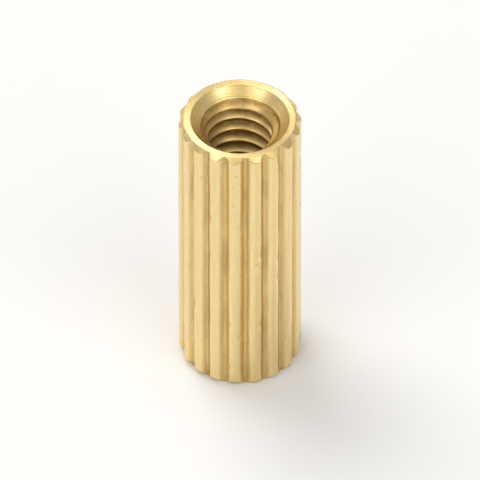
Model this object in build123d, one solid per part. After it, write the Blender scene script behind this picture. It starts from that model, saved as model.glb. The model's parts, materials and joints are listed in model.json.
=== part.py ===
from build123d import *
import math
import os

# Knurled round standoff: one piece, turned from straight-knurled brass bar,
# countersunk and tapped right through.
#
# Frame: the piece stands on one end. +Z runs along the bore, and the origin is
# the centre of the bottom end face. All sizes are in millimetres.

# ---- driving dimensions -----------------------------------------------------
length = 8.0              # face to face
crest_dia = 3.15          # over the knurl's crests
knurl_depth = 0.13        # crest to groove floor, measured along the radius
ridge_count = 18
crest_half_deg = 4.9      # half the angle that one crest's top spans
root_half_deg = 1.3       # half the angle that one groove's floor spans
first_ridge_deg = 5.0     # puts the ridges alike about X and about Y
shoulder_r = 0.045        # rounding where a flank meets the crest
root_r = 0.025            # rounding where a flank meets the groove floor

thread_major_dia = 2.0    # M2 coarse
thread_pitch = 0.4
thread_drill_dia = 1.6    # the thread's crests; this is the bore that is modelled

countersink_dia = 2.52    # mouth, at the end face
countersink_angle = 90.0  # included angle
end_chamfer = 0.15        # 45 degrees, turned down to just under the groove floor

# ---- derived ----------------------------------------------------------------
crest_r = crest_dia / 2
root_floor_r = crest_r - knurl_depth
face_r = crest_r - end_chamfer
bore_r = thread_drill_dia / 2
sink_r = countersink_dia / 2
sink_depth = (sink_r - bore_r) / math.tan(math.radians(countersink_angle / 2))


def at(radius, degrees):
    a = math.radians(degrees)
    return (radius * math.cos(a), radius * math.sin(a))


# ---- the bar's section: crests, flanks and groove floors --------------------
pitch_deg = 360.0 / ridge_count
with BuildSketch(Plane.XY) as section:
    with BuildLine():
        for i in range(ridge_count):
            c = first_ridge_deg + i * pitch_deg        # middle of this crest
            n = c + pitch_deg                          # middle of the next one
            g = c + pitch_deg / 2                      # middle of the groove
            crest_a = at(crest_r, c - crest_half_deg)
            crest_m = at(crest_r, c)
            crest_b = at(crest_r, c + crest_half_deg)
            floor_a = at(root_floor_r, g - root_half_deg)
            floor_m = at(root_floor_r, g)
            floor_b = at(root_floor_r, g + root_half_deg)
            next_a = at(crest_r, n - crest_half_deg)
            ThreePointArc(crest_a, crest_m, crest_b)
            Line(crest_b, floor_a)
            ThreePointArc(floor_a, floor_m, floor_b)
            Line(floor_b, next_a)
    make_face()
    middle = (crest_r + root_floor_r) / 2
    outer = [v for v in section.vertices() if math.hypot(v.X, v.Y) > middle]
    fillet(outer, radius=shoulder_r)
    inner = [v for v in section.vertices()
             if math.hypot(v.X, v.Y) < root_floor_r + 0.004]
    fillet(inner, radius=root_r)

bar = extrude(section.sketch, amount=length)

# ---- the end chamfers, as a turned envelope ---------------------------------
clear = 0.2
with BuildPart() as envelope:
    with BuildSketch(Plane.XZ):
        with BuildLine():
            Polyline(
                (0, 0),
                (face_r, 0),
                (crest_r + clear, end_chamfer + clear),
                (crest_r + clear, length - end_chamfer - clear),
                (face_r, length),
                (0, length),
                close=True,
            )
        make_face()
    revolve(axis=Axis.Z)

# ---- the bore and both countersinks -----------------------------------------
over = 0.5
with BuildPart() as hole:
    with BuildSketch(Plane.XZ):
        with BuildLine():
            Polyline(
                (0, -over),
                (sink_r + over * math.tan(math.radians(countersink_angle / 2)), -over),
                (bore_r, sink_depth),
                (bore_r, length - sink_depth),
                (sink_r + over * math.tan(math.radians(countersink_angle / 2)), length + over),
                (0, length + over),
                close=True,
            )
        make_face()
    revolve(axis=Axis.Z)

standoff = (bar & envelope.part) - hole.part
solid = standoff.solids()[0]

os.makedirs("parts", exist_ok=True)
export_step(solid, "parts/standoff.step")

print("solids", len(standoff.solids()), "faces", len(solid.faces()), "volume", round(solid.volume, 3))
print("countersink depth", round(sink_depth, 3), "bore wall", round(length - 2 * sink_depth, 3))
box = solid.bounding_box()
print("box", box.min, box.max)
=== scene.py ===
import json
import math

import bpy
import numpy as np
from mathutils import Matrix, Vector

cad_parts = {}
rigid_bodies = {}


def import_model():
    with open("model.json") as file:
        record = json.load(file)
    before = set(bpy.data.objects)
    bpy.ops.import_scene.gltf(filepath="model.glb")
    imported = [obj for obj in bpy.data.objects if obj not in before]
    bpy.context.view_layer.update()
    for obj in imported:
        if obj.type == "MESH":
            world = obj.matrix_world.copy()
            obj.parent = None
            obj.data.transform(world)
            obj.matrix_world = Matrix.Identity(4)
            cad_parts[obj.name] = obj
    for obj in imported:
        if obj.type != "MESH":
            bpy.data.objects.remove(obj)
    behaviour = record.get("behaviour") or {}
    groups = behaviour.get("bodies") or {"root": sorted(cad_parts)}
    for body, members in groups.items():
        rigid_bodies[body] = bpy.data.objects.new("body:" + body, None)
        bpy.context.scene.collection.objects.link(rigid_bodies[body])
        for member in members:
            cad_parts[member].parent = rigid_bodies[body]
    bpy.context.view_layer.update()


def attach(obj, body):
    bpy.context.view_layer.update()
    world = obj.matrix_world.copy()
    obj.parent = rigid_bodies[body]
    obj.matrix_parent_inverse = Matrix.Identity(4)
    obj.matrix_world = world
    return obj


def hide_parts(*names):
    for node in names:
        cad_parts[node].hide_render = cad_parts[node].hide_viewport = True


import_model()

# A straight-knurled round brass standoff, standing on one end. Everything below
# is worked out in millimetres and written to the meshes in metres.
MM = 0.001
L = 8.0                       # face to face
CREST_R = 1.575               # over the knurl
DEPTH = 0.13                  # crest to groove floor
RIDGES = 18
PITCH = 360.0 / RIDGES
FIRST = 5.0                   # the first ridge's angle, in degrees
CREST_HALF = 4.9
ROOT_HALF = 1.3
FACE_R = 1.425                # where the outer chamfer meets the end face
SINK_R = 1.26                 # the countersink's mouth
BORE_R = 0.8                  # the thread's crests
MAJOR_R = 1.0                 # the thread's roots
LEAD = 0.4                    # thread pitch, right-handed

rng = np.random.default_rng(2143)


def smin(a, b, k):
    """The smaller of the two, rounded where they cross."""
    h = np.maximum(k - np.abs(a - b), 0.0) / k
    return np.minimum(a, b) - h * h * k * 0.25


def smax(a, b, k):
    return -smin(-a, -b, k)


# ---- the knurl ---------------------------------------------------------------
# Each ridge and groove was rolled by another tooth of the wheel, so depth, width
# and place differ a little from one to the next, and wander slowly along Z.
crest_drop = rng.uniform(0.0, 0.010, RIDGES)
crest_tilt = rng.uniform(-0.009, 0.009, RIDGES)
ridge_shift = rng.uniform(-0.28, 0.28, RIDGES)
groove_depth = DEPTH + rng.uniform(-0.014, 0.008, RIDGES)
groove_half = (PITCH / 2 - CREST_HALF) + rng.uniform(-0.35, 0.30, RIDGES)
wander_p = rng.uniform(0, 2 * math.pi, (RIDGES, 3))
wander_f = rng.uniform(0.7, 3.4, (RIDGES, 3))

# small knocks on the ridges: angle in degrees, height, depth, size along the
# ridge and across it
knocks = []
for _ in range(120):
    ridge = rng.integers(0, RIDGES)
    side = rng.choice([-1.0, 1.0, 0.0], p=[0.42, 0.42, 0.16])
    knocks.append((
        FIRST + ridge * PITCH + side * rng.uniform(3.2, 5.2),
        rng.uniform(0.15, L - 0.15),
        rng.uniform(0.006, 0.030),
        rng.uniform(0.06, 0.17),
        rng.uniform(0.035, 0.08),
    ))


def knurl(theta, z):
    """Radius of the knurled side at these angles (degrees) and heights."""
    t = (theta - FIRST) % 360.0
    g = np.floor(t / PITCH).astype(int) % RIDGES           # groove after ridge g
    n = (g + 1) % RIDGES
    psi = t - (g + 0.5) * PITCH                            # from the groove's middle
    sway = 0.10 * np.sin(wander_f[g, 0] * z + wander_p[g, 0])
    shift = 0.5 * (ridge_shift[g] + ridge_shift[n]) + sway
    psi = psi - shift
    half = groove_half[g] + 0.12 * np.sin(wander_f[g, 1] * z + wander_p[g, 1])
    deep = groove_depth[g] + 0.004 * np.sin(wander_f[g, 2] * z + wander_p[g, 2])
    f = (half - np.abs(psi)) / (half - ROOT_HALF)
    f = smin(f, np.ones_like(f), 0.30)
    f = smax(f, np.zeros_like(f), 0.42)
    # the crest itself: slightly domed and slightly tipped
    near = np.where(psi < 0, g, n)
    phi = np.where(psi < 0, psi + PITCH / 2, psi - PITCH / 2)
    wave = 0.0025 * (1 + np.sin(wander_f[near, 1] * 1.7 * z + wander_p[near, 2]))
    dome = (phi / CREST_HALF) ** 2
    crest = CREST_R - crest_drop[near] - wave - 0.034 * dome / (1 + 0.30 * dome)
    crest = crest + crest_tilt[near] * np.clip(phi / CREST_HALF, -1, 1) - np.abs(crest_tilt[near])
    r = crest - (deep - (CREST_R - crest) * 0.6) * f
    for a, h, d, along, across in knocks:
        da = (theta - a + 180.0) % 360.0 - 180.0
        near_it = np.abs(da) < 8
        if not near_it.any():
            continue
        s = np.radians(da) * CREST_R
        r = r - np.where(near_it, d * np.exp(-(s / across) ** 2 - ((z - h) / along) ** 2), 0.0)
    return r


# ---- the outer skin: 18 columns to a ridge -----------------------------------
steps = [-9.2, -8.4, -7.4, -6.4, -5.5, -4.7, -3.7, -2.0, 0.0,
         2.0, 3.7, 4.7, 5.5, 6.4, 7.4, 8.4, 9.2, 10.0]
out_deg = np.array([FIRST + i * PITCH + s for i in range(RIDGES) for s in steps])
N_OUT = len(out_deg)                    # 324
N_IN = N_OUT // 3                       # 108
out_rad = np.radians(out_deg)
in_rad = np.radians(FIRST + steps[0]) + np.arange(N_IN) * 2 * math.pi / N_IN

EDGE_R = 0.026                          # rounding where face and chamfer meet
MOUTH_R = 0.020                         # rounding at the countersink's mouth


def end_rows(offset_amp, offset_deg):
    """Rings from the flat face over its outer edge on to the chamfer, as
    (radius at each column, distance from the end face)."""
    e = offset_amp * np.cos(out_rad - math.radians(offset_deg))
    t = EDGE_R * math.tan(math.radians(22.5))
    rows = [(np.full(N_OUT, 1.345), 0.0)]
    rows.append((FACE_R + e - t - 0.012, 0.0))
    for a in np.radians([0.0, 11.25, 22.5, 33.75, 45.0]):
        rows.append((FACE_R + e - t + EDGE_R * math.sin(a), EDGE_R * (1 - math.cos(a))))
    return rows, e


verts, faces, kinds = [], [], []


def add_ring(radius, angle, z, dx=0.0, dy=0.0):
    start = len(verts)
    for r, a, h in zip(np.broadcast_to(radius, angle.shape), angle, np.broadcast_to(z, angle.shape)):
        verts.append((r * math.cos(a) + dx, r * math.sin(a) + dy, h))
    return start


def skin(a, b, n, kind):
    """Quads between two rings of n points; kind is one number or one per column."""
    for j in range(n):
        k = (j + 1) % n
        faces.append((a + j, a + k, b + k, b + j))
        kinds.append(kind if np.isscalar(kind) else int(kind[j]))


SIDE, TURNED, THREAD = 0, 1, 2
rows, e_low = end_rows(0.010, 35.0)
rings = [(r, z) for r, z in rows]
low_count = len(rings)
chamfer_z = np.concatenate([np.linspace(0.018, 0.19, 17)])
body_z = np.linspace(0.19, L - 0.19, 148)[1:-1]
rows_top, e_top = end_rows(0.012, 205.0)
cutter = 0.012


def side_ring(z):
    k = knurl(out_deg, np.full(N_OUT, z))
    low = FACE_R + e_low + z
    top = FACE_R + e_top + (L - z)
    r = smin(smin(k, low, cutter), top, cutter)
    return r, (k > low) | (k > top)


side = [(z, *side_ring(z)) for z in np.concatenate([chamfer_z, body_z, L - chamfer_z[::-1]])]

starts, marks = [], []
for r, z in rings:
    starts.append(add_ring(r, out_rad, z)); marks.append(np.ones(N_OUT, bool))
for z, r, cut in side:
    starts.append(add_ring(r, out_rad, z)); marks.append(cut)
for r, z in reversed(rows_top):
    starts.append(add_ring(r, out_rad, L - z)); marks.append(np.ones(N_OUT, bool))
for a, b, m0, m1 in zip(starts, starts[1:], marks, marks[1:]):
    count = m0.astype(int) + np.roll(m0, -1) + m1 + np.roll(m1, -1)
    skin(a, b, N_OUT, np.where(count >= 2, TURNED, SIDE))
outer_low, outer_top = starts[0], starts[-1]

# ---- the inside: countersinks and a real thread ------------------------------
# The hole was drilled and tapped a few microns off the bar's axis.
HX, HY = 0.007, -0.005
t = MOUTH_R * math.tan(math.radians(22.5))
mouth = [(1.318, 0.0), (SINK_R + t + 0.010, 0.0)]
for a in np.radians([0.0, 15.0, 30.0, 45.0]):
    mouth.append((SINK_R + t - MOUTH_R * math.sin(a), MOUTH_R * (1 - math.cos(a))))
Z0 = 0.245
for z in np.linspace(0.0, Z0, 12)[1:]:
    mouth.append((SINK_R - z, z))

# thread profile over one pitch: distance along Z, radius
root_flat, rise = 0.060, (MAJOR_R - BORE_R) * math.tan(math.radians(30))
crest_flat = LEAD - root_flat - 2 * rise
u = [0.0]
prof = [BORE_R + 0.006]
u += [0.014, crest_flat * 0.5, crest_flat - 0.014, crest_flat]
prof += [BORE_R, BORE_R, BORE_R, BORE_R + 0.006]
for s in (0.16, 0.5, 0.84):
    u.append(crest_flat + s * rise); prof.append(BORE_R + s * (MAJOR_R - BORE_R))
u += [crest_flat + rise, crest_flat + rise + root_flat * 0.5, crest_flat + rise + root_flat]
prof += [MAJOR_R - 0.010, MAJOR_R, MAJOR_R - 0.010]
for s in (0.84, 0.5, 0.16):
    u.append(LEAD - s * rise); prof.append(BORE_R + s * (MAJOR_R - BORE_R))
u, prof = np.array(u), np.array(prof)
M = len(u)                                # rows to a turn


def cone(z):
    return np.maximum(SINK_R - z, SINK_R - (L - z))


def ring_of(index, start_z):
    return start_z + index


turns = int(math.ceil((L - 2 * Z0) / LEAD)) + 2
w = np.concatenate([Z0 - LEAD + i * LEAD + u for i in range(turns)])
p_all = np.concatenate([prof for _ in range(turns)])
last = np.searchsorted(w, L - Z0) + 1      # the first row that starts past the top
w, p_all = w[:last], p_all[:last]
K = len(w)
share = np.arange(N_IN) / N_IN
ZZ = w[None, :] + LEAD * share[:, None]
RR = np.broadcast_to(p_all[None, :], ZZ.shape)
# slow unevenness of the cut, so the flanks don't shine as one clean spiral
uneven = 0.004 * np.sin(3.1 * ZZ + 2 * in_rad[:, None]) + 0.003 * np.sin(7.7 * ZZ + 1.3 + in_rad[:, None])
RR = RR + uneven * (RR > BORE_R + 0.004)
ZC = np.clip(ZZ, Z0, L - Z0)
RR = smax(RR, cone(ZC), 0.012)
clipped = (ZZ <= Z0) | (ZZ >= L - Z0)
RR = np.where(clipped, SINK_R - Z0, RR)

start_low = [add_ring(np.float64(r), in_rad, z, HX, HY) for r, z in mouth[:-1]]
rim_low = add_ring(np.float64(mouth[-1][0]), in_rad, Z0, HX, HY)
rim_top = add_ring(np.float64(mouth[-1][0]), in_rad, L - Z0, HX, HY)
start_top = [add_ring(np.float64(r), in_rad, L - z, HX, HY) for r, z in reversed(mouth[:-1])]
low_rings, top_rings = start_low + [rim_low], [rim_top] + start_top
for a, b in zip(low_rings, low_rings[1:]):
    skin(b, a, N_IN, TURNED)
for a, b in zip(top_rings, top_rings[1:]):
    skin(b, a, N_IN, TURNED)

grid = np.empty((N_IN, K), int)
for j in range(N_IN):
    ca, sa = math.cos(in_rad[j]), math.sin(in_rad[j])
    for k in range(K):
        if ZZ[j, k] <= Z0:
            grid[j, k] = rim_low + j
        elif ZZ[j, k] >= L - Z0:
            grid[j, k] = rim_top + j
        else:
            grid[j, k] = len(verts)
            verts.append((RR[j, k] * ca + HX, RR[j, k] * sa + HY, ZC[j, k]))


def cell(j, k):
    """The grid's vertex at column j and row k; a full turn on, rows shift by M."""
    if j == N_IN:
        j, k = 0, k + M
    if k >= K:
        return rim_top + j
    return grid[j, k]


for j in range(N_IN):
    for k in range(-M, K):
        if j < N_IN - 1 and k < 0:
            continue
        a = cell(j, k) if k >= 0 else rim_low + j
        d = cell(j, k + 1) if k + 1 >= 0 else rim_low + j
        b, c = cell(j + 1, k), cell(j + 1, k + 1)
        loop = []
        for x in (a, d, c, b):
            if not loop or (x != loop[-1] and x != loop[0]):
                if x not in loop:
                    loop.append(x)
        if len(loop) >= 3:
            faces.append(tuple(loop))
            kinds.append(THREAD)

# the flat rings at both ends join 3 outer columns to 1 inner column
for j in range(N_IN):
    k = (j + 1) % N_IN
    o = [outer_low + (3 * j + s) % N_OUT for s in range(4)]
    faces.append((low_rings[0] + k, o[3], o[2], o[1], o[0], low_rings[0] + j)[::-1])
    kinds.append(TURNED)
    o = [outer_top + (3 * j + s) % N_OUT for s in range(4)]
    faces.append((top_rings[-1] + j, o[0], o[1], o[2], o[3], top_rings[-1] + k)[::-1])
    kinds.append(TURNED)

mesh = bpy.data.meshes.new("standoff_body")
mesh.from_pydata([(x * MM, y * MM, z * MM) for x, y, z in verts], [], faces)
mesh.update()
body = bpy.data.objects.new("standoff_body", mesh)
bpy.context.scene.collection.objects.link(body)

import bmesh
bm = bmesh.new()
bm.from_mesh(mesh)
bm.faces.ensure_lookup_table()
kind_layer = bm.faces.layers.int.new("kind")
for f, kind in zip(bm.faces, kinds):
    f[kind_layer] = kind
bmesh.ops.recalc_face_normals(bm, faces=bm.faces)
for f in bm.faces:
    f.smooth = True
    f.material_index = f[kind_layer]
open_edges = sum(1 for e in bm.edges if len(e.link_faces) != 2)
volume = bm.calc_volume(signed=True)
bm.faces.layers.int.remove(kind_layer)
bm.to_mesh(mesh)
tris = sum(len(f.verts) - 2 for f in bm.faces)
bm.free()
print("standoff_body: open edges", open_edges, "volume mm3", round(volume * 1e9, 2), "triangles", tris)


# ---- materials ----------------------------------------------------------------
class Nodes:
    """Short names for building one node tree."""

    def __init__(self, name):
        self.mat = bpy.data.materials.new(name)
        self.mat.use_nodes = True
        self.tree = self.mat.node_tree
        self.bsdf = self.tree.nodes["Principled BSDF"]

    def new(self, kind, **props):
        node = self.tree.nodes.new(kind)
        for key, value in props.items():
            setattr(node, key, value)
        return node

    def link(self, a, b):
        self.tree.links.new(a, b)

    def math(self, op, a, b=None, c=None, clamp=False):
        node = self.new("ShaderNodeMath", operation=op, use_clamp=clamp)
        for i, x in enumerate((a, b, c)):
            if x is None:
                continue
            if isinstance(x, (int, float)):
                node.inputs[i].default_value = x
            else:
                self.link(x, node.inputs[i])
        return node.outputs[0]

    def scaled(self, vector, sx, sy, sz):
        node = self.new("ShaderNodeVectorMath", operation="MULTIPLY")
        self.link(vector, node.inputs[0])
        node.inputs[1].default_value = (sx, sy, sz)
        return node.outputs[0]

    def turned(self, vector, rx, ry, rz, sx, sy, sz):
        """Turned first, then scaled."""
        node = self.new("ShaderNodeMapping", vector_type="TEXTURE")
        self.link(vector, node.inputs["Vector"])
        node.inputs["Rotation"].default_value = (rx, ry, rz)
        node.inputs["Scale"].default_value = (1 / sx, 1 / sy, 1 / sz)
        return node.outputs["Vector"]

    def noise(self, vector, scale, detail=3.0, rough=0.5, dims="3D", w=None, distortion=0.0):
        node = self.new("ShaderNodeTexNoise", noise_dimensions=dims)
        if vector is not None and dims != "1D":
            self.link(vector, node.inputs["Vector"])
        if w is not None:
            self.link(w, node.inputs["W"])
        node.inputs["Scale"].default_value = scale
        node.inputs["Detail"].default_value = detail
        node.inputs["Roughness"].default_value = rough
        node.inputs["Distortion"].default_value = distortion
        return node.outputs["Fac"]

    def ramp(self, value, low, high, out_low=0.0, out_high=1.0):
        node = self.new("ShaderNodeMapRange", clamp=True, interpolation_type="SMOOTHSTEP")
        self.link(value, node.inputs["Value"])
        node.inputs["From Min"].default_value = low
        node.inputs["From Max"].default_value = high
        node.inputs["To Min"].default_value = out_low
        node.inputs["To Max"].default_value = out_high
        return node.outputs["Result"]

    def mix(self, factor, a, b):
        node = self.new("ShaderNodeMix", data_type="RGBA")
        fac, ca, cb = node.inputs[0], node.inputs[6], node.inputs[7]
        if isinstance(factor, (int, float)):
            fac.default_value = factor
        else:
            self.link(factor, fac)
        for sock, x in ((ca, a), (cb, b)):
            if isinstance(x, tuple):
                sock.default_value = (*x, 1.0)
            else:
                self.link(x, sock)
        return node.outputs[2]

    def bump(self, height, distance, strength=1.0, normal=None):
        node = self.new("ShaderNodeBump")
        node.inputs["Strength"].default_value = strength
        node.inputs["Distance"].default_value = distance
        self.link(height, node.inputs["Height"])
        if normal is not None:
            self.link(normal, node.inputs["Normal"])
        return node.outputs["Normal"]


LIGHT = (0.895, 0.692, 0.340)
MID = (0.815, 0.605, 0.250)
DEEP = (0.65, 0.465, 0.185)
BURNT = (0.36, 0.225, 0.075)
WORN = (0.850, 0.650, 0.305)


def start(name):
    n = Nodes(name)
    coord = n.new("ShaderNodeTexCoord")
    mm = n.scaled(coord.outputs["Object"], 1000.0, 1000.0, 1000.0)
    split = n.new("ShaderNodeSeparateXYZ")
    n.link(mm, split.inputs[0])
    x, y, z = split.outputs
    r = n.math("SQRT", n.math("ADD", n.math("MULTIPLY", x, x), n.math("MULTIPLY", y, y)))
    n.bsdf.inputs["Metallic"].default_value = 1.0
    return n, mm, r, z


# the knurled side: drawn lines along the ridges, burnished crests whose edges are lightened
# as wear and as a painted highlight, duller grooves darkened with painted shade, and old oil dried into them here
# and there
n, mm, r, z = start("brass_knurl")
high = n.ramp(r, 1.446, 1.556)                                  # 0 in a groove, 1 on a crest
# a thin band along the crest edges, given a lighter colour below that is both burnished wear and a painted
# highlight, and a lower roughness
edge_wear_and_highlight = n.math("MULTIPLY", n.ramp(r, 1.500, 1.535), n.ramp(r, 1.542, 1.562, 1.0, 0.0))
streak = n.noise(n.scaled(mm, 20.0, 20.0, 0.5), 1.0, 4.0, 0.62)
fine = n.noise(n.scaled(mm, 46.0, 46.0, 1.5), 1.0, 3.0, 0.6)
pits = n.noise(n.scaled(mm, 15.0, 15.0, 6.0), 1.0, 2.0, 0.5)
blotch = n.noise(n.scaled(mm, 1.5, 1.5, 0.8), 1.0, 4.0, 0.6)
turn = n.noise(n.scaled(mm, 1.2, 1.2, 33.0), 1.0, 2.0, 0.55)
grain = n.noise(mm, 46.0, 2.0, 0.5)
oil = n.noise(n.scaled(mm, 3.0, 3.0, 0.8), 1.0, 4.0, 0.65)
patch = n.ramp(blotch, 0.34, 0.66)
tone = n.mix(n.math("ADD", n.math("MULTIPLY", patch, 0.45), n.ramp(streak, 0.36, 0.64, 0.0, 0.55), clamp=True), WORN, LIGHT)
tone = n.mix(n.ramp(fine, 0.54, 0.66, 0.0, 0.16), tone, DEEP)   # drawn scratches
tone = n.mix(n.ramp(pits, 0.69, 0.735, 0.0, 0.40), tone, BURNT)
# painted shade: from the crest down into the groove the colour darkens towards DEEP, unevenly along the streaks
low = n.math("SUBTRACT", 1.0, high)
tone = n.mix(n.math("MULTIPLY", low, n.ramp(streak, 0.30, 0.68, 0.35, 0.72)), tone, DEEP)
scratch = n.math("MAXIMUM",
                 n.ramp(n.noise(n.turned(mm, 0.55, 0.50, 0.0, 17.0, 17.0, 0.9), 1.0, 2.0, 0.5), 0.685, 0.715),
                 n.ramp(n.noise(n.turned(mm, -0.70, -0.38, 0.4, 19.0, 19.0, 1.1), 1.0, 2.0, 0.5), 0.690, 0.720))
scratch = n.math("MULTIPLY", scratch, n.ramp(r, 1.520, 1.548))  # rubs cross the crests only
root = n.ramp(r, 1.452, 1.490, 1.0, 0.0)
tone = n.mix(n.math("MULTIPLY", root, n.ramp(oil, 0.42, 0.68, 0.05, 0.40)), tone, BURNT)
# the crest edges lightened: partly burnished wear, partly a painted highlight
tone = n.mix(n.math("MULTIPLY", edge_wear_and_highlight, n.ramp(blotch, 0.30, 0.60, 0.75, 0.25)), tone, (0.94, 0.77, 0.43))
tone = n.mix(n.math("MULTIPLY", scratch, 0.65), tone, (0.95, 0.80, 0.48))
n.link(tone, n.bsdf.inputs["Base Color"])
rough = n.math("ADD", n.ramp(high, 0.0, 1.0, 0.36, 0.15), n.ramp(streak, 0.3, 0.7, -0.04, 0.09))
rough = n.math("ADD", rough, n.ramp(patch, 0.0, 1.0, 0.05, -0.04), clamp=True)
rough = n.math("SUBTRACT", rough, n.math("MULTIPLY", edge_wear_and_highlight, 0.05), clamp=True)
n.link(rough, n.bsdf.inputs["Roughness"])
crest = n.ramp(r, 1.505, 1.552)
nrm = n.bump(n.math("MULTIPLY", turn, crest), 0.0000045)         # what is left of the bar's turning marks
nrm = n.bump(streak, 0.0000080, normal=nrm)
nrm = n.bump(fine, 0.0000028, normal=nrm)
nrm = n.bump(grain, 0.0000030, normal=nrm)
nrm = n.bump(n.math("SUBTRACT", 1.0, scratch), 0.0000040, normal=nrm)
n.link(nrm, n.bsdf.inputs["Normal"])
knurl_mat = n.mat

# faced ends, chamfers and countersinks: rings left by the tool
n, mm, r, z = start("brass_turned")
wob = n.noise(mm, 2.2, 2.0, 0.5)
ring_w = n.math("ADD", n.math("MULTIPLY", r, 34.0), n.math("MULTIPLY", wob, 1.3))
ring = n.noise(None, 1.0, 3.0, 0.6, dims="1D", w=ring_w)
ring2 = n.noise(None, 3.7, 2.0, 0.5, dims="1D", w=ring_w)
grain = n.noise(mm, 60.0, 2.0, 0.5)
blotch = n.noise(mm, 1.7, 3.0, 0.5)
tone = n.mix(n.ramp(blotch, 0.35, 0.65), MID, LIGHT)
tone = n.mix(n.ramp(ring, 0.60, 0.72, 0.0, 0.35), tone, DEEP)
n.link(tone, n.bsdf.inputs["Base Color"])
rough = n.math("ADD", n.ramp(ring, 0.3, 0.7, 0.22, 0.34), n.ramp(blotch, 0.35, 0.65, 0.05, -0.02))
n.link(rough, n.bsdf.inputs["Roughness"])
nrm = n.bump(ring, 0.0000060)
nrm = n.bump(ring2, 0.0000018, normal=nrm)
nrm = n.bump(grain, 0.0000014, normal=nrm)
n.link(nrm, n.bsdf.inputs["Normal"])
turned_mat = n.mat

# the thread: duller, and darker than the outside as painted shade inside the bore, darkest in the roots, where
# painted shade mixes with a little dried cutting oil
n, mm, r, z = start("brass_thread")
deep = n.ramp(r, 0.80, 0.98)
smear = n.noise(n.scaled(mm, 5.0, 5.0, 9.0), 1.0, 3.0, 0.55)
grain = n.noise(mm, 55.0, 2.0, 0.5)
# painted shade: the whole thread gets a darker brass and its roots a dark brown, made uneven by the smear noise
tone = n.mix(n.math("MULTIPLY", deep, n.ramp(smear, 0.3, 0.7, 0.5, 1.0)), (0.72, 0.52, 0.215), (0.36, 0.22, 0.06))
n.link(tone, n.bsdf.inputs["Base Color"])
rough = n.math("ADD", n.ramp(deep, 0.0, 1.0, 0.34, 0.48), n.ramp(smear, 0.3, 0.7, -0.04, 0.07))
n.link(rough, n.bsdf.inputs["Roughness"])
nrm = n.bump(smear, 0.000004)
nrm = n.bump(grain, 0.0000025, normal=nrm)
n.link(nrm, n.bsdf.inputs["Normal"])
thread_mat = n.mat

for m in (knurl_mat, turned_mat, thread_mat):
    mesh.materials.append(m)

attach(body, "root")
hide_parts("standoff")

# ---- floor, light and camera ---------------------------------------------------
floor_mesh = bpy.data.meshes.new("floor")
R = 1.6
ring_n = 96
fv = [(0.0, 0.0, 0.0)] + [(R * math.cos(2 * math.pi * i / ring_n), R * math.sin(2 * math.pi * i / ring_n), 0.0)
                          for i in range(ring_n)]
ff = [(0, 1 + i, 1 + (i + 1) % ring_n) for i in range(ring_n)]
floor_mesh.from_pydata(fv, [], ff)
floor = bpy.data.objects.new("floor", floor_mesh)
bpy.context.scene.collection.objects.link(floor)
fm = Nodes("floor_paper")
fm.bsdf.inputs["Roughness"].default_value = 0.85
fm.bsdf.inputs["Specular IOR Level"].default_value = 0.2
coord = fm.new("ShaderNodeTexCoord")
tint = fm.noise(fm.scaled(coord.outputs["Object"], 1.0, 1.0, 1.0), 4.0, 3.0, 0.5)
fm.link(fm.mix(fm.ramp(tint, 0.3, 0.7), (0.865, 0.86, 0.85), (0.89, 0.885, 0.875)), fm.bsdf.inputs["Base Color"])
floor_mesh.materials.append(fm.mat)


def area(name, where, aim, size, power, colour=(1, 1, 1), size_y=None):
    data = bpy.data.lights.new(name, "AREA")
    data.energy = power
    data.color = colour
    data.shape = "RECTANGLE"
    data.size = size
    data.size_y = size_y or size
    lamp = bpy.data.objects.new(name, data)
    bpy.context.scene.collection.objects.link(lamp)
    lamp.location = where
    lamp.rotation_euler = (Vector(aim) - Vector(where)).to_track_quat("-Z", "Y").to_euler()
    return lamp


centre = Vector((0.0, 0.0, 0.004))


def from_camera(side_deg, up_deg, dist):
    """A place so far round from the camera's side of the object, and so high."""
    a, e = math.radians(side_deg), math.radians(up_deg)
    return (dist * math.cos(e) * math.sin(a), -dist * math.cos(e) * math.cos(a), dist * math.sin(e))


# the key comes over the object's left shoulder from behind, so its soft shadow falls
# to the front right; two softboxes in front light the countersink
area("key", from_camera(-142, 52, 0.50), centre, 0.32, 1.29, (1.0, 0.995, 0.985))
area("softbox_right", from_camera(41, 46, 0.46), centre, 0.30, 0.46, (1.0, 0.99, 0.975))
area("softbox_left", from_camera(-42, 45, 0.46), centre, 0.30, 0.42, (1.0, 0.99, 0.975))

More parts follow.
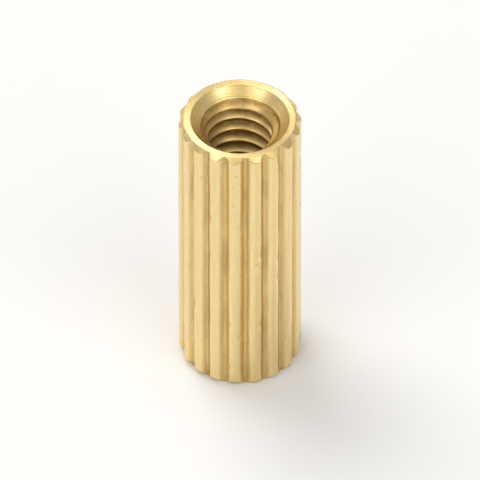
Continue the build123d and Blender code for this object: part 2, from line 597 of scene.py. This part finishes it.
# the white tent round the table, darker at its opening low in front
world = bpy.data.worlds.new("studio")
bpy.context.scene.world = world
world.use_nodes = True
wt = world.node_tree
bg = wt.nodes["Background"]
tc = wt.nodes.new("ShaderNodeTexCoord")
sep = wt.nodes.new("ShaderNodeSeparateXYZ")
wt.links.new(tc.outputs["Generated"], sep.inputs[0])
cr = wt.nodes.new("ShaderNodeValToRGB")
wt.links.new(sep.outputs["Z"], cr.inputs["Fac"])
cr.color_ramp.elements[0].position = 0.0
cr.color_ramp.elements[0].color = (0.475, 0.475, 0.472, 1)
cr.color_ramp.elements[1].position = 1.0
cr.color_ramp.elements[1].color = (0.56, 0.56, 0.557, 1)
dot = wt.nodes.new("ShaderNodeVectorMath")
dot.operation = "DOT_PRODUCT"
wt.links.new(tc.outputs["Generated"], dot.inputs[0])
dot.inputs[1].default_value = from_camera(0, 14.0, 1.0)
gap = wt.nodes.new("ShaderNodeMapRange")
gap.interpolation_type = "SMOOTHSTEP"
wt.links.new(dot.outputs["Value"], gap.inputs["Value"])
gap.inputs["From Min"].default_value = 0.90
gap.inputs["From Max"].default_value = 0.975
gap.inputs["To Min"].default_value = 1.0
gap.inputs["To Max"].default_value = 0.16
wt.links.new(cr.outputs["Color"], bg.inputs["Color"])
wt.links.new(gap.outputs["Result"], bg.inputs["Strength"])

cam_data = bpy.data.cameras.new("camera")
cam = bpy.data.objects.new("camera", cam_data)
bpy.context.scene.collection.objects.link(cam)
distance = 0.47
elevation = math.radians(44.5)
azimuth = math.radians(-90.0)
target = Vector((0.0, 0.0, 0.0037))
cam.location = target + distance * Vector((math.cos(elevation) * math.cos(azimuth),
                                           math.cos(elevation) * math.sin(azimuth),
                                           math.sin(elevation)))
cam.rotation_euler = (target - cam.location).to_track_quat("-Z", "Y").to_euler()
cam_data.sensor_width = 36.0
cam_data.sensor_height = 36.0
cam_data.sensor_fit = "HORIZONTAL"
cam_data.lens = 36.0 * distance / 0.0122
cam_data.clip_start = 0.002
cam_data.clip_end = 10.0
bpy.context.scene.camera = cam

bpy.context.scene.view_settings.view_transform = "Standard"
bpy.context.scene.view_settings.look = "None"
bpy.context.scene.view_settings.exposure = 0.0
bpy.context.scene.view_settings.gamma = 1.0
